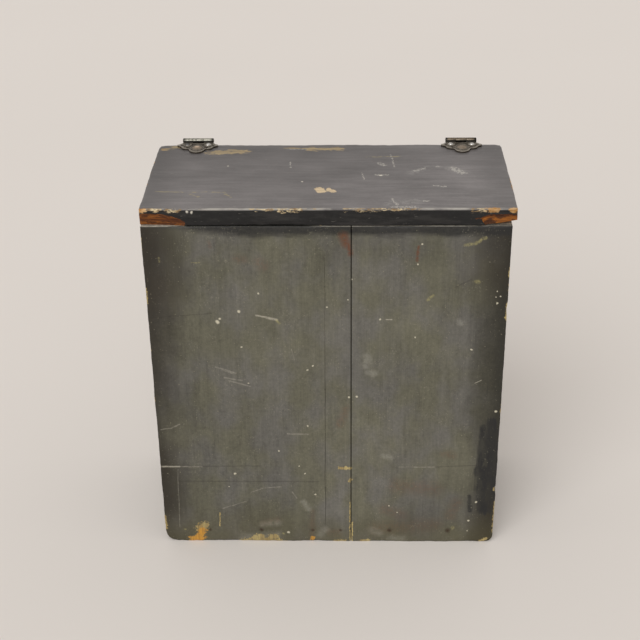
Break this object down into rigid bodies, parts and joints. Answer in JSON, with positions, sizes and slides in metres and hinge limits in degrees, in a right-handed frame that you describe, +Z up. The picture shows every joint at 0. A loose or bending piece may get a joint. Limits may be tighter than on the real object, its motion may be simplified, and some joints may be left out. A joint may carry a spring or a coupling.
{
  "type": "grain bin",
  "caption": "Tall, narrow grain bin nailed from worn painted boards, with a flat lid that swings back on ornamental iron hinges.",
  "frame": {"origin": "middle of the footprint, on the surface that the bin stands on", "axes": "+Z up, +Y from the front boards towards the hinged back, +X to the right of someone facing the front"},
  "size_m": [0.411, 0.1966, 0.4588],
  "materials": {
    "old_paint": "faded black paint, rubbed to grey-green, chipped to bare wood",
    "lid_paint": "satin black paint, chipped to bare wood along the edges",
    "bare_wood": "unpainted old softwood",
    "hinge_iron": "dark bronzed iron, rubbed on the relief",
    "pin_steel": "darkened steel",
    "screw_steel": "worn steel",
    "nail_iron": "rusty iron"
  },
  "bodies": {
    "bin": {"front_board_left": "old_paint", "front_board_right": "old_paint", "side_board_left": "old_paint", "side_board_right": "old_paint", "back_board_left": "old_paint", "back_board_right": "old_paint", "bottom_board": "bare_wood", "hinge_left_back_leaf": "hinge_iron", "hinge_left_pin": "pin_steel", "hinge_right_back_leaf": "hinge_iron", "hinge_right_pin": "pin_steel", "hinge_left_back_screws": "screw_steel", "hinge_right_back_screws": "screw_steel", "front_side_nails_left": "nail_iron", "front_side_nails_right": "nail_iron", "front_bottom_nails": "nail_iron", "back_side_nails_left": "nail_iron", "back_side_nails_right": "nail_iron", "back_bottom_nails": "nail_iron", "side_bottom_nails_left": "nail_iron", "side_bottom_nails_right": "nail_iron"},
    "lid": {"lid_board": "lid_paint", "hinge_left_lid_leaf": "hinge_iron", "hinge_right_lid_leaf": "hinge_iron", "hinge_left_lid_screws": "screw_steel", "hinge_right_lid_screws": "screw_steel"}
  },
  "joints": [
    {"name": "lid_hinge", "type": "hinge", "parent": "bin", "child": "lid", "pos_m": [0, 0.0952, 0.4557], "axis": [-1, 0, 0], "range_deg": [0, 270]}
  ]
}
